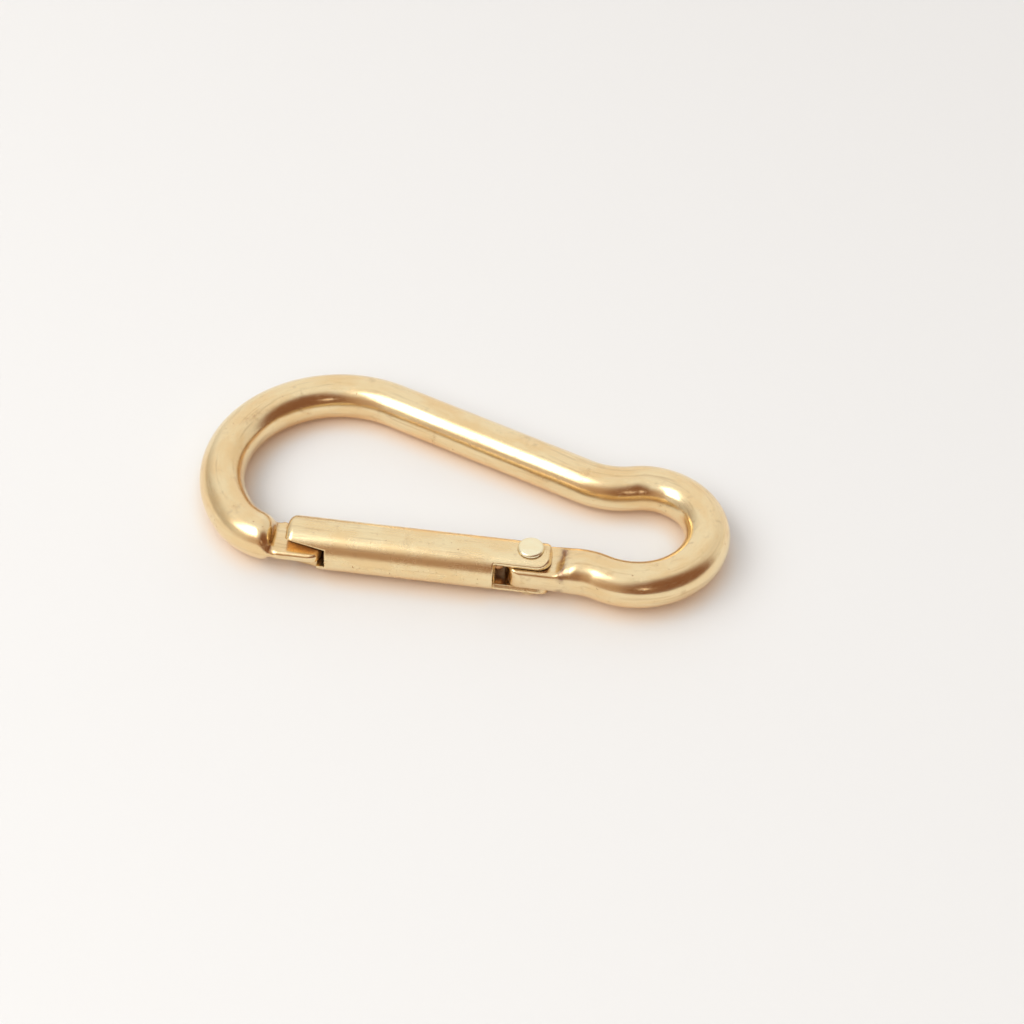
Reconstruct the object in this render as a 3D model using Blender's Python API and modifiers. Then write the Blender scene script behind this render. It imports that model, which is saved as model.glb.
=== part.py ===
"""Brass snap hook (carabiner) with a sprung gate, built from its five real pieces.

The bar lies in the XY plane. +X runs from the big loop to the small eye, +Y from the gate to the
spine, and +Z is up. The origin is the middle of the bar's outline, on its centre plane.
Plan coordinates below start at the nose: x = 0 is just before the first bend, on the gate's line.
"""

import math

import bmesh
import bpy
from mathutils import Vector

MM = 0.001

# Bar: one round rod bent in a plane, from the nose round the big loop, the spine and the eye.
BAR_RADIUS = 3.0 * MM
NOSE_STRAIGHT = 1.9 * MM
LOOP_TIGHT_RADIUS = 8.2 * MM
LOOP_TIGHT_ANGLE = math.radians(49.0)
LOOP_WIDE_RADIUS = 15.4 * MM
LOOP_WIDE_ANGLE = math.radians(152.0)
NECK_RADIUS = 10.5 * MM
NECK_ANGLE = math.radians(37.0)
EYE_TIGHT_RADIUS = 8.2 * MM
EYE_TIGHT_ANGLE = math.radians(119.0)
EYE_WIDE_RADIUS = 9.8 * MM
EYE_WIDE_ANGLE = math.radians(98.0)
HEEL_RADIUS = 7.7 * MM
BEND_STEP = math.radians(6.0)

# Nose tongue: the bar's first end, milled flat above and below.
TONGUE_TOP = 0.5 * MM
TONGUE_BOTTOM = -0.95 * MM
TONGUE_ROOT_X = -2.3 * MM
TONGUE_SLOPE_RUN = 0.65 * MM
TONGUE_INNER_Y = 1.2 * MM
TONGUE_NOTCH_X = -0.9 * MM
TONGUE_TIP_RADIUS = 2.1 * MM
TONGUE_TIP_X = 4.1 * MM

# Hinge tang: the bar's other end, milled flat, with a cam for the plunger.
PIVOT_X = 31.2 * MM
PIVOT_Y = 0.3 * MM
TANG_HALF = 1.55 * MM
TANG_ROOT_X = 34.95 * MM
TANG_SLOPE_RUN = 1.5 * MM
TANG_END_RADIUS = 3.1 * MM
CAM_RISE_PER_RADIAN = 1.4 * MM
OPEN_ANGLE = math.radians(42.0)
CAM_OVERRUN = math.radians(4.0)

# Gate: a thicker round rod, slotted over the tongue at one end and over the tang at the other.
GATE_RADIUS = 3.35 * MM
GATE_Y = 0.1 * MM
GATE_NOSE_X = -0.6 * MM
GATE_NOSE_ROUNDING = 1.1 * MM
GATE_HEEL_X = 34.0 * MM
GATE_HEEL_CORNER = 1.8 * MM
NOSE_SLOT_END_X = 4.75 * MM
NOSE_SLOT_TOP = 0.78 * MM
NOSE_SLOT_BOTTOM = -1.15 * MM
NOSE_SLOT_INNER_Y = 1.6 * MM
NOSE_LIP_Y = -0.98 * MM
NOSE_LIP_SLANT = -0.25
FORK_SLOT_HALF = 1.75 * MM
FORK_SLOT_CLEAR_RADIUS = 4.35 * MM
FORK_SLOT_END_X = PIVOT_X - FORK_SLOT_CLEAR_RADIUS
FORK_SLOT_CLEAR_ANGLE = math.radians(44.0)
FORK_START_X = 26.7 * MM
FORK_OUTER_Y = -2.1 * MM
FORK_INNER_Y = 2.75 * MM
BORE_RADIUS = 1.0 * MM
BORE_DEPTH = 10.35 * MM

# Rivet, plunger and spring.
RIVET_RADIUS = 1.2 * MM
RIVET_HEAD_RADIUS = 1.65 * MM
RIVET_HEAD_HEIGHT = 0.45 * MM
RIVET_HEAD_ROUNDING = 0.25 * MM
PLUNGER_RADIUS = 0.9 * MM
PLUNGER_HEAD_LENGTH = 3.0 * MM
PLUNGER_STEM_RADIUS = 0.45 * MM
PLUNGER_STEM_LENGTH = 2.5 * MM
SPRING_WIRE_RADIUS = 0.15 * MM
SPRING_COIL_RADIUS = 0.7 * MM
SPRING_TURNS = 10
SPRING_DEAD_TURNS = 1.0

# Gaps between pieces.
RUNNING_GAP = 0.05 * MM
HEAD_GAP = 0.05 * MM
PLUNGER_GAP = 0.1 * MM
SPRING_END_GAP = 0.1 * MM

# Facets.
BAR_BEVEL_RESOLUTION = 12
TURNED_STEPS = 48
SMALL_STEPS = 32
ARC_STEP = math.radians(11.25)
CAM_STEP = math.radians(5.0)
COIL_POINTS_PER_TURN = 12
CUT_REACH = 5.0 * MM
WELD = 0.000001


def bar_segments(spine_length, tang_length):
    """(radius, angle) of each bend, or (length, None) of each straight; a positive angle turns right."""
    first = LOOP_TIGHT_ANGLE + LOOP_WIDE_ANGLE - NECK_ANGLE
    heel_angle = first + EYE_TIGHT_ANGLE + EYE_WIDE_ANGLE - 2 * math.pi
    return [
        (NOSE_STRAIGHT + TONGUE_TIP_X + BAR_RADIUS, None),
        (LOOP_TIGHT_RADIUS, LOOP_TIGHT_ANGLE),
        (LOOP_WIDE_RADIUS, LOOP_WIDE_ANGLE),
        (spine_length, None),
        (NECK_RADIUS, -NECK_ANGLE),
        (EYE_TIGHT_RADIUS, EYE_TIGHT_ANGLE),
        (EYE_WIDE_RADIUS, EYE_WIDE_ANGLE),
        (HEEL_RADIUS, -heel_angle),
        (tang_length, None),
    ]


def walk(segments):
    """Points along the bar's centre line in plan, starting past the tongue's tip and heading -X."""
    position = Vector((TONGUE_TIP_X + BAR_RADIUS, 0.0))
    heading = math.pi
    points = [position.copy()]
    for size, angle in segments:
        if angle is None:
            position = position + size * Vector((math.cos(heading), math.sin(heading)))
            points.append(position.copy())
            continue
        side = 1 if angle > 0 else -1
        centre = position + side * size * Vector((math.sin(heading), -math.cos(heading)))
        count = math.ceil(abs(angle) / BEND_STEP)
        for i in range(1, count + 1):
            turned = heading - angle * i / count
            position = centre - side * size * Vector((math.sin(turned), -math.cos(turned)))
            points.append(position.copy())
        heading = heading - angle
    return points


def spine_length():
    """The straight spine's length, which brings the tang down to the rivet's line."""
    miss = walk(bar_segments(0.0, 0.0))[-1].y - PIVOT_Y
    spine_heading = LOOP_TIGHT_ANGLE + LOOP_WIDE_ANGLE - math.pi
    return miss / math.sin(spine_heading)


def bar_path():
    """The bar's whole centre line; its last straight reaches just past the tang's cam."""
    spine = spine_length()
    heel_end_x = walk(bar_segments(spine, 0.0))[-1].x
    cam_reach = TANG_END_RADIUS + CAM_RISE_PER_RADIAN * OPEN_ANGLE + BAR_RADIUS
    return walk(bar_segments(spine, heel_end_x - PIVOT_X + cam_reach))


def outline_middle(points):
    """The middle of the bar's outline in plan, which becomes the origin."""
    xs = [p.x for p in points]
    ys = [p.y for p in points]
    return Vector(((min(xs) + max(xs)) / 2, (min(ys) + max(ys)) / 2, 0.0))


BAR_PATH = bar_path()
MIDDLE = outline_middle(BAR_PATH)
PIVOT = Vector((PIVOT_X, PIVOT_Y, 0.0)) - MIDDLE


def at(x, y, z):
    """A point given in plan coordinates, in the model's own frame."""
    return Vector((x, y, z)) - MIDDLE


def clear_scene():
    for obj in list(bpy.data.objects):
        bpy.data.objects.remove(obj)


def new_collection(name):
    collection = bpy.data.collections.new(name)
    bpy.context.scene.collection.children.link(collection)
    return collection


def new_material(name, colour, roughness, metallic):
    material = bpy.data.materials.new(name)
    material.use_nodes = True
    shader = material.node_tree.nodes["Principled BSDF"]
    shader.inputs["Base Color"].default_value = (*colour, 1.0)
    shader.inputs["Roughness"].default_value = roughness
    shader.inputs["Metallic"].default_value = metallic
    material.diffuse_color = (*colour, 1.0)
    return material


def mesh_from_curve(curve_object, collection):
    """Turns a curve object into a closed mesh object of the same name and place."""
    bpy.context.view_layer.update()
    depsgraph = bpy.context.evaluated_depsgraph_get()
    mesh = bpy.data.meshes.new_from_object(curve_object.evaluated_get(depsgraph))
    name = curve_object.name
    matrix = curve_object.matrix_world.copy()
    bpy.data.objects.remove(curve_object)
    bm = bmesh.new()
    bm.from_mesh(mesh)
    bmesh.ops.remove_doubles(bm, verts=bm.verts, dist=WELD)
    bmesh.ops.recalc_face_normals(bm, faces=bm.faces)
    bm.to_mesh(mesh)
    bm.free()
    obj = bpy.data.objects.new(name, mesh)
    obj.matrix_world = matrix
    collection.objects.link(obj)
    return obj


def poly_curve(name, points, dimensions, cyclic):
    """A POLY curve object, linked to the scene's own collection until it is converted."""
    curve = bpy.data.curves.new(name, "CURVE")
    curve.dimensions = dimensions
    spline = curve.splines.new("POLY")
    spline.points.add(len(points) - 1)
    for target, point in zip(spline.points, points):
        target.co = (*point, 1.0)
    spline.use_cyclic_u = cyclic
    obj = bpy.data.objects.new(name, curve)
    bpy.context.scene.collection.objects.link(obj)
    return obj


def rod(name, points, radius, resolution, collection):
    """A round bar along the points, as a closed mesh."""
    obj = poly_curve(name, points, "3D", False)
    obj.data.bevel_depth = radius
    obj.data.bevel_resolution = resolution
    obj.data.use_fill_caps = True
    obj.data.twist_mode = "Z_UP"
    return mesh_from_curve(obj, collection)


def plate(name, outline, thickness, location, collection, rotation=(0.0, 0.0, 0.0)):
    """A flat solid with the given outline, centred on its own XY plane."""
    obj = poly_curve(name, [(x, y, 0.0) for x, y in outline], "2D", True)
    obj.data.fill_mode = "BOTH"
    obj.data.extrude = thickness / 2
    obj.location = location
    obj.rotation_euler = rotation
    return mesh_from_curve(obj, collection)


def turned(name, profile, steps, collection):
    """A solid of revolution about its own Z axis; the profile holds (radius, z), top to bottom."""
    mesh = bpy.data.meshes.new(name)
    bm = bmesh.new()
    verts = [bm.verts.new((radius, 0.0, z)) for radius, z in profile]
    for first, second in zip(verts, verts[1:]):
        bm.edges.new((first, second))
    bm.to_mesh(mesh)
    bm.free()
    obj = bpy.data.objects.new(name, mesh)
    collection.objects.link(obj)
    screw = obj.modifiers.new("Turn", "SCREW")
    screw.axis = "Z"
    screw.steps = steps
    screw.render_steps = steps
    screw.use_merge_vertices = True
    screw.merge_threshold = WELD
    return obj


def drill(name, radius, depth, location, collection, rotation=(0.0, 0.0, 0.0)):
    """A cylinder cutter centred on its location, along its own Z axis."""
    mesh = bpy.data.meshes.new(name)
    bm = bmesh.new()
    bmesh.ops.create_cone(
        bm, cap_ends=True, segments=SMALL_STEPS, radius1=radius, radius2=radius, depth=depth
    )
    bm.to_mesh(mesh)
    bm.free()
    obj = bpy.data.objects.new(name, mesh)
    obj.location = location
    obj.rotation_euler = rotation
    collection.objects.link(obj)
    return obj


def prism(name, first, last, collection):
    """A solid between two end faces with the same number of corners."""
    mesh = bpy.data.meshes.new(name)
    bm = bmesh.new()
    start = [bm.verts.new(corner) for corner in first]
    end = [bm.verts.new(corner) for corner in last]
    bm.faces.new(start)
    bm.faces.new(end)
    for n in range(len(start)):
        bm.faces.new((start[n - 1], start[n], end[n], end[n - 1]))
    bmesh.ops.recalc_face_normals(bm, faces=bm.faces)
    bm.to_mesh(mesh)
    bm.free()
    obj = bpy.data.objects.new(name, mesh)
    collection.objects.link(obj)
    return obj


def subtract(obj, cutter):
    """Cuts the cutter out of the object with a Boolean modifier."""
    modifier = obj.modifiers.new(cutter.name, "BOOLEAN")
    modifier.operation = "DIFFERENCE"
    modifier.solver = "EXACT"
    modifier.object = cutter
    cutter.hide_render = True
    cutter.display_type = "WIRE"


def arc(centre_x, centre_y, radius, start, end):
    """Points on an arc from one angle to another, both included."""
    count = max(2, math.ceil(abs(end - start) / ARC_STEP))
    angles = [start + (end - start) * i / count for i in range(count + 1)]
    return [(centre_x + radius * math.cos(a), centre_y + radius * math.sin(a)) for a in angles]


def side_cut(name, profile, cutters):
    """A cutter whose profile is given in X and Z, reaching across the bar along Y."""
    shifted = [(x - MIDDLE.x, z) for x, z in profile]
    location = at(MIDDLE.x, 0.0, 0.0)
    return plate(name, shifted, 2 * CUT_REACH, location, cutters, (math.pi / 2, 0.0, 0.0))


def plan_cut(name, outline, cutters, bottom=-CUT_REACH, top=CUT_REACH):
    """A cutter whose outline is given in plan, reaching from bottom to top along Z."""
    shifted = [(x - MIDDLE.x, y - MIDDLE.y) for x, y in outline]
    return plate(name, shifted, top - bottom, (0.0, 0.0, (top + bottom) / 2), cutters)


def slope_profile(root_x, end_x, level, run, side):
    """Material above (side 1) or below (side -1) a flat, with a slope up to the bar's surface."""
    reach = (CUT_REACH - side * level) / (BAR_RADIUS - side * level)
    far_z = side * CUT_REACH
    return [(root_x, level), (end_x, level), (end_x, far_z), (root_x + run * reach, far_z)]


def tongue_outline():
    """Everything outside the tongue in plan: its inner notch and the rounded tip."""
    tip_x = TONGUE_TIP_X - TONGUE_TIP_RADIUS
    tip_y = TONGUE_INNER_Y - TONGUE_TIP_RADIUS
    far_x = TONGUE_TIP_X + 2 * BAR_RADIUS
    points = [(TONGUE_NOTCH_X, CUT_REACH), (TONGUE_NOTCH_X, TONGUE_INNER_Y)]
    points += arc(tip_x, tip_y, TONGUE_TIP_RADIUS, math.pi / 2, -math.pi / 2)
    points += [(tip_x, -CUT_REACH), (far_x, -CUT_REACH), (far_x, CUT_REACH)]
    return points


def cam_outline():
    """The tang's end: a round outer side, a cradle for the plunger's nose and a spiral rise.

    The plunger's centre keeps to a path whose distance from the pivot grows evenly with the
    gate's angle, so the cam is that path moved inwards by the plunger's radius.
    """
    nose = PLUNGER_RADIUS + PLUNGER_GAP
    start = TANG_END_RADIUS + nose
    slope_start = math.atan2(CAM_RISE_PER_RADIAN, start)
    points = arc(PIVOT_X, PIVOT_Y, TANG_END_RADIUS, -math.pi / 2, -math.pi)
    points += arc(PIVOT_X - start, PIVOT_Y, nose, 0.0, slope_start)[1:]
    last_angle = OPEN_ANGLE + CAM_OVERRUN
    steps = math.ceil(last_angle / CAM_STEP)
    for i in range(1, steps + 1):
        angle = last_angle * i / steps
        path = start + CAM_RISE_PER_RADIAN * angle
        slant = math.hypot(CAM_RISE_PER_RADIAN, path)
        outward = path - nose * path / slant
        across = nose * CAM_RISE_PER_RADIAN / slant
        x = -outward * math.cos(angle) + across * math.sin(angle)
        y = outward * math.sin(angle) + across * math.cos(angle)
        points.append((PIVOT_X + x, PIVOT_Y + y))
    return points


def tang_outline():
    """Everything outside the tang's end in plan."""
    far_x = PIVOT_X - TANG_END_RADIUS - 3 * BAR_RADIUS
    last_x, last_y = cam_outline()[-1]
    points = cam_outline()
    points += [(last_x + (CUT_REACH - last_y), CUT_REACH), (far_x, CUT_REACH)]
    points += [(far_x, -CUT_REACH), (PIVOT_X, -CUT_REACH)]
    return points


def build_body(parts, cutters):
    path = [Vector((p.x, p.y, 0.0)) - MIDDLE for p in BAR_PATH]
    body = rod("body", path, BAR_RADIUS, BAR_BEVEL_RESOLUTION, parts)
    tip_x = TONGUE_TIP_X + 2 * BAR_RADIUS
    tail_x = PIVOT_X - 3 * TANG_END_RADIUS
    above = slope_profile(TONGUE_ROOT_X, tip_x, TONGUE_TOP, -TONGUE_SLOPE_RUN, 1)
    below = slope_profile(TONGUE_ROOT_X, tip_x, TONGUE_BOTTOM, -TONGUE_SLOPE_RUN, -1)
    subtract(body, side_cut("tongue_above", above, cutters))
    subtract(body, side_cut("tongue_below", below, cutters))
    subtract(body, plan_cut("tongue_outline", tongue_outline(), cutters))
    above = slope_profile(TANG_ROOT_X, tail_x, TANG_HALF, TANG_SLOPE_RUN, 1)
    below = slope_profile(TANG_ROOT_X, tail_x, -TANG_HALF, TANG_SLOPE_RUN, -1)
    subtract(body, side_cut("tang_above", above, cutters))
    subtract(body, side_cut("tang_below", below, cutters))
    subtract(body, plan_cut("tang_outline", tang_outline(), cutters))
    hole = drill("tang_hole", RIVET_RADIUS + RUNNING_GAP, 2 * CUT_REACH, PIVOT, cutters)
    subtract(body, hole)
    return body


def gate_profile():
    """The gate's turned shape, from the domed nose down to the flat heel; z runs to the nose."""
    nose = PIVOT_X - GATE_NOSE_X
    heel = PIVOT_X - GATE_HEEL_X
    flat_radius = GATE_RADIUS - GATE_NOSE_ROUNDING
    dome = arc(flat_radius, nose - GATE_NOSE_ROUNDING, GATE_NOSE_ROUNDING, math.pi / 2, 0.0)
    return [(0.0, nose)] + dome + [(GATE_RADIUS, heel), (0.0, heel)]


def nose_slot_outline():
    """The slot at the nose: open at the end and on the outer side, closed on the inner side."""
    far_x = GATE_NOSE_X - GATE_RADIUS
    corner = NOSE_SLOT_INNER_Y
    points = [(far_x, -CUT_REACH), (NOSE_SLOT_END_X, -CUT_REACH)]
    points += arc(NOSE_SLOT_END_X - corner, 0.0, corner, 0.0, math.pi / 2)
    points += [(far_x, NOSE_SLOT_INNER_Y)]
    return points


def fork_slot_outline():
    """The slot over the tang: square on the outer side, round the cam's sweep on the inner."""
    far_x = GATE_HEEL_X + GATE_RADIUS
    start = math.pi - FORK_SLOT_CLEAR_ANGLE
    wall = arc(PIVOT_X, PIVOT_Y, FORK_SLOT_CLEAR_RADIUS, start, math.pi)
    points = [(FORK_SLOT_END_X, -CUT_REACH), (far_x, -CUT_REACH), (far_x, CUT_REACH)]
    points += [(wall[0][0], CUT_REACH)] + wall
    return points


def fork_outline():
    """Everything outside the fork in plan: a flat flank on its outer side and a round heel."""
    far_x = GATE_HEEL_X + GATE_RADIUS
    corner_x = GATE_HEEL_X - GATE_HEEL_CORNER
    outer_y = FORK_OUTER_Y + GATE_HEEL_CORNER
    inner_y = FORK_INNER_Y - GATE_HEEL_CORNER
    points = [(FORK_START_X, -CUT_REACH), (FORK_START_X, FORK_OUTER_Y)]
    points += arc(corner_x, outer_y, GATE_HEEL_CORNER, -math.pi / 2, 0.0)
    points += arc(corner_x, inner_y, GATE_HEEL_CORNER, 0.0, math.pi / 2)
    points += [(corner_x, CUT_REACH), (far_x, CUT_REACH), (far_x, -CUT_REACH)]
    return points


def nose_lip_cut(cutters):
    """Bevels the slot's upper outer lip and cuts the lower one back, most at the nose."""
    ends = []
    for x in (GATE_NOSE_X - GATE_RADIUS, NOSE_SLOT_END_X):
        lip_y = NOSE_LIP_Y + NOSE_LIP_SLANT * x
        rise = CUT_REACH + lip_y
        corners = [(lip_y, -CUT_REACH), (lip_y, NOSE_SLOT_TOP)]
        corners += [(-CUT_REACH, NOSE_SLOT_TOP + rise), (-CUT_REACH, -CUT_REACH)]
        ends.append([at(x, y, z) for y, z in corners])
    return prism("nose_lip", ends[0], ends[1], cutters)


def build_gate(parts, cutters, pivot):
    gate = turned("gate", gate_profile(), TURNED_STEPS, parts)
    gate.parent = pivot
    gate.location = (0.0, GATE_Y - PIVOT_Y, 0.0)
    gate.rotation_euler = (0.0, -math.pi / 2, 0.0)
    outline = nose_slot_outline()
    subtract(gate, plan_cut("nose_slot", outline, cutters, NOSE_SLOT_BOTTOM, NOSE_SLOT_TOP))
    subtract(gate, nose_lip_cut(cutters))
    outline = fork_slot_outline()
    subtract(gate, plan_cut("fork_slot", outline, cutters, -FORK_SLOT_HALF, FORK_SLOT_HALF))
    subtract(gate, plan_cut("fork_outline", fork_outline(), cutters))
    hole = drill("fork_hole", RIVET_RADIUS + RUNNING_GAP, 2 * CUT_REACH, PIVOT, cutters)
    subtract(gate, hole)
    bore_middle = at(FORK_SLOT_END_X, PIVOT_Y, 0.0)
    turn = (0.0, math.pi / 2, 0.0)
    subtract(gate, drill("spring_bore", BORE_RADIUS, 2 * BORE_DEPTH, bore_middle, cutters, turn))
    return gate


def build_rivet(parts, pivot):
    """A plain shank with a flat round head at each end, resting on the fork's round back."""
    seat = GATE_RADIUS + HEAD_GAP
    top = seat + RIVET_HEAD_HEIGHT
    edge = RIVET_HEAD_RADIUS - RIVET_HEAD_ROUNDING
    round_z = top - RIVET_HEAD_ROUNDING
    upper = [(0.0, top)] + arc(edge, round_z, RIVET_HEAD_ROUNDING, math.pi / 2, 0.0)
    upper += [(RIVET_HEAD_RADIUS, seat), (RIVET_RADIUS, seat)]
    lower = [(radius, -z) for radius, z in reversed(upper)]
    rivet = turned("hinge_rivet", upper + lower, SMALL_STEPS, parts)
    rivet.parent = pivot
    return rivet


def plunger_tip():
    """Distance from the pivot to the plunger's nose when the gate is shut."""
    return TANG_END_RADIUS + PLUNGER_GAP


def build_plunger(parts, pivot):
    """A pin with a domed nose towards the tang and a stem inside the spring."""
    profile = [(0.0, 0.0)] + arc(0.0, -PLUNGER_RADIUS, PLUNGER_RADIUS, math.pi / 2, 0.0)[1:]
    stem_end = -PLUNGER_HEAD_LENGTH - PLUNGER_STEM_LENGTH
    profile += [
        (PLUNGER_RADIUS, -PLUNGER_HEAD_LENGTH),
        (PLUNGER_STEM_RADIUS, -PLUNGER_HEAD_LENGTH),
        (PLUNGER_STEM_RADIUS, stem_end),
        (0.0, stem_end),
    ]
    plunger = turned("plunger", profile, SMALL_STEPS, parts)
    plunger.parent = pivot
    plunger.location = (-plunger_tip(), 0.0, 0.0)
    plunger.rotation_euler = (0.0, math.pi / 2, 0.0)
    return plunger


def coil_points(length):
    """A coil along +Z whose first and last turns lie close, as on a compression spring."""
    close_pitch = 2.1 * SPRING_WIRE_RADIUS
    open_turns = SPRING_TURNS - 2 * SPRING_DEAD_TURNS
    open_pitch = (length - 2 * SPRING_DEAD_TURNS * close_pitch) / open_turns
    points = []
    z = 0.0
    count = SPRING_TURNS * COIL_POINTS_PER_TURN
    for i in range(count + 1):
        turn = i / COIL_POINTS_PER_TURN
        angle = 2 * math.pi * turn
        points.append((SPRING_COIL_RADIUS * math.cos(angle), SPRING_COIL_RADIUS * math.sin(angle), z))
        dead = turn < SPRING_DEAD_TURNS or turn >= SPRING_TURNS - SPRING_DEAD_TURNS
        z += (close_pitch if dead else open_pitch) / COIL_POINTS_PER_TURN
    return points


def build_spring(parts, pivot):
    """A compression spring between the bore's blind end and the plunger's shoulder."""
    bottom_x = FORK_SLOT_END_X - BORE_DEPTH + SPRING_END_GAP + SPRING_WIRE_RADIUS
    shoulder_x = PIVOT_X - plunger_tip() - PLUNGER_HEAD_LENGTH
    length = shoulder_x - SPRING_END_GAP - SPRING_WIRE_RADIUS - bottom_x
    spring = rod("spring", coil_points(length), SPRING_WIRE_RADIUS, 2, parts)
    spring.parent = pivot
    spring.location = (bottom_x - PIVOT_X, 0.0, 0.0)
    spring.rotation_euler = (0.0, math.pi / 2, 0.0)
    return spring


def build_pivot(parts):
    """The empty on the hinge axis that the gate and everything in it hangs from."""
    pivot = bpy.data.objects.new("gate_pivot", None)
    pivot.location = PIVOT
    pivot.empty_display_size = BAR_RADIUS
    parts.objects.link(pivot)
    return pivot


def finish_part(obj, material):
    obj.data.materials.append(material)
    obj.data.shade_smooth()
    obj.data.set_sharp_from_angle(angle=math.radians(30.0))


def main():
    clear_scene()
    parts = new_collection("snap_hook")
    cutters = new_collection("cutters")
    brass = new_material("polished_brass", (0.72, 0.53, 0.27), 0.18, 1.0)
    satin = new_material("satin_brass", (0.74, 0.56, 0.31), 0.3, 1.0)
    head = new_material("rivet_brass", (0.80, 0.66, 0.36), 0.25, 1.0)
    steel = new_material("spring_steel", (0.45, 0.44, 0.42), 0.3, 1.0)
    pin = new_material("plunger_brass", (0.66, 0.43, 0.24), 0.3, 1.0)
    pivot = build_pivot(parts)
    finish_part(build_body(parts, cutters), brass)
    finish_part(build_gate(parts, cutters, pivot), satin)
    finish_part(build_rivet(parts, pivot), head)
    finish_part(build_plunger(parts, pivot), pin)
    finish_part(build_spring(parts, pivot), steel)


main()
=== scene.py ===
"""Looks for the brass snap hook: finer meshes, procedural brass, floor, light and camera.

The solids are built as distance fields in plan coordinates, in millimetres: x = 0 is just before
the nose's first bend, +x runs along the gate towards the hinge, +y towards the spine, +z is up.
They are meshed on a grid and placed in the row's frame, where the rivet's axis fixes the origin.
"""

import math

import bpy
import numpy as np
from mathutils import Matrix, Vector


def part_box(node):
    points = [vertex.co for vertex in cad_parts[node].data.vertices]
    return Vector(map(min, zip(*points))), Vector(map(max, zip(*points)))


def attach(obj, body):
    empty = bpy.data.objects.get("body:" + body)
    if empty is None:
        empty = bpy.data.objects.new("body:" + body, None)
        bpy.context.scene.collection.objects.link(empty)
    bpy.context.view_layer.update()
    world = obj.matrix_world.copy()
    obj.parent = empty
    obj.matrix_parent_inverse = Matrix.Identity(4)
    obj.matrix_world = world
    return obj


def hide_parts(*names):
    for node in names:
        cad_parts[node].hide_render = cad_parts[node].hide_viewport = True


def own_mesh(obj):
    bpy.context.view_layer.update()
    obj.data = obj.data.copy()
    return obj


MM = 0.001

# Bar, as in the CAD: one round rod bent in a plane.
BAR_RADIUS = 3.0
NOSE_STRAIGHT = 1.9
LOOP_TIGHT_RADIUS = 8.2
LOOP_TIGHT_ANGLE = math.radians(49.0)
LOOP_WIDE_RADIUS = 15.4
LOOP_WIDE_ANGLE = math.radians(152.0)
NECK_RADIUS = 10.5
NECK_ANGLE = math.radians(37.0)
EYE_TIGHT_RADIUS = 8.2
EYE_TIGHT_ANGLE = math.radians(119.0)
EYE_WIDE_RADIUS = 9.8
EYE_WIDE_ANGLE = math.radians(98.0)
HEEL_RADIUS = 7.7
RIDGE_ANGLE = math.radians(10.0)
RIDGE_WIDTH = 0.16
RIDGE_HEIGHT = 0.01
RIDGE_LEAST_OFFSET = 0.01

# Nose tongue. Its outline reaches past the bar on the outer side, where the bar's own side shows.
TONGUE_TOP = 0.54
TONGUE_BOTTOM = -0.95
TONGUE_ROOT_X = -2.3
TONGUE_SLOPE = math.radians(75.0)
TONGUE_INNER_Y = 1.2
TONGUE_OUTER_Y = -BAR_RADIUS - 0.4
TONGUE_NOTCH_X = -0.88
TONGUE_TIP_X = 4.1
TONGUE_TIP_RADIUS = 2.1

# Hinge tang and its cam; beyond the cam's end the tang keeps the bar's own side.
PIVOT_X = 31.2
PIVOT_Y = 0.3
TANG_HALF = 1.57
TANG_ROOT_X = 34.95
TANG_SLOPE = math.radians(44.0)
TANG_END_RADIUS = 3.1
TANG_OUTER_SWELL = 0.6
CAM_RISE_PER_RADIAN = 1.4
CAM_END_ANGLE = math.radians(46.0)
CAM_RUN_OUT_PER_RADIAN = 3.0
HOLE_RADIUS = 1.25

# Fillets at the feet of the bar's flats, and how far their rims are worn round.
TONGUE_FILLET = 0.5
TONGUE_OUTLINE_WEAR = 0.5
TONGUE_FLAT_WEAR = 0.6
TONGUE_SLOPE_WEAR = 1.5
TONGUE_WEAR_START_X = TONGUE_ROOT_X - 0.3
TONGUE_WEAR_RUN = 1.0
TANG_FILLET = 0.4
TANG_FLAT_WEAR = 0.4
TANG_SLOPE_WEAR = 1.1
TANG_WEAR_RUN = 1.5
BODY_HOLE_WEAR = 0.1

# Where the tongue's and the tang's cuts apply; the rest of the bar stays round.
NOSE_ZONE_END_X = 12.0
HINGE_ZONE_START_X = 15.0
HINGE_ZONE_END_X = 39.0
ZONE_REACH_Y = 8.0

# Gate.
GATE_RADIUS = 3.35
GATE_Y = 0.1
GATE_NOSE_X = -0.6
GATE_NOSE_ROUNDING = 1.1
GATE_HEEL_X = 34.0
GATE_HEEL_CORNER = 1.8
NOSE_SLOT_END_X = 4.75
NOSE_SLOT_TOP = 0.76
NOSE_SLOT_BOTTOM = -1.15
NOSE_SLOT_INNER_Y = 1.6
NOSE_SLOT_CORNER = 1.2
NOSE_LIP_Y = -0.55
NOSE_LIP_SLANT = -0.25
NOSE_LOWER_LIP_X = 3.6
FORK_SLOT_HALF = 1.75
FORK_SLOT_CLEAR_RADIUS = 4.35
FORK_SLOT_END_X = PIVOT_X - FORK_SLOT_CLEAR_RADIUS
FORK_SLOT_BACK_X = PIVOT_X - 0.72 * FORK_SLOT_CLEAR_RADIUS
FORK_START_X = 26.7
FORK_OUTER_Y = -1.92
FORK_UNDERCUT = 0.51
FORK_INNER_Y = 2.85
HEEL_LEAN = 0.17
BORE_RADIUS = 1.0
BORE_END_X = 16.5

# Fillet where the fork starts, and how far the gate's edges are worn round.
FORK_START_FILLET = 0.15
FLANK_WEAR = 0.25
NOSE_SLOT_WEAR = 0.2
FORK_SLOT_WEAR = 0.12
GATE_HOLE_WEAR = 0.08
FLANK_ZONE_START_X = FORK_START_X - 4.0
HOLE_ZONE_START_X = FORK_SLOT_END_X + 0.5

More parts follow.
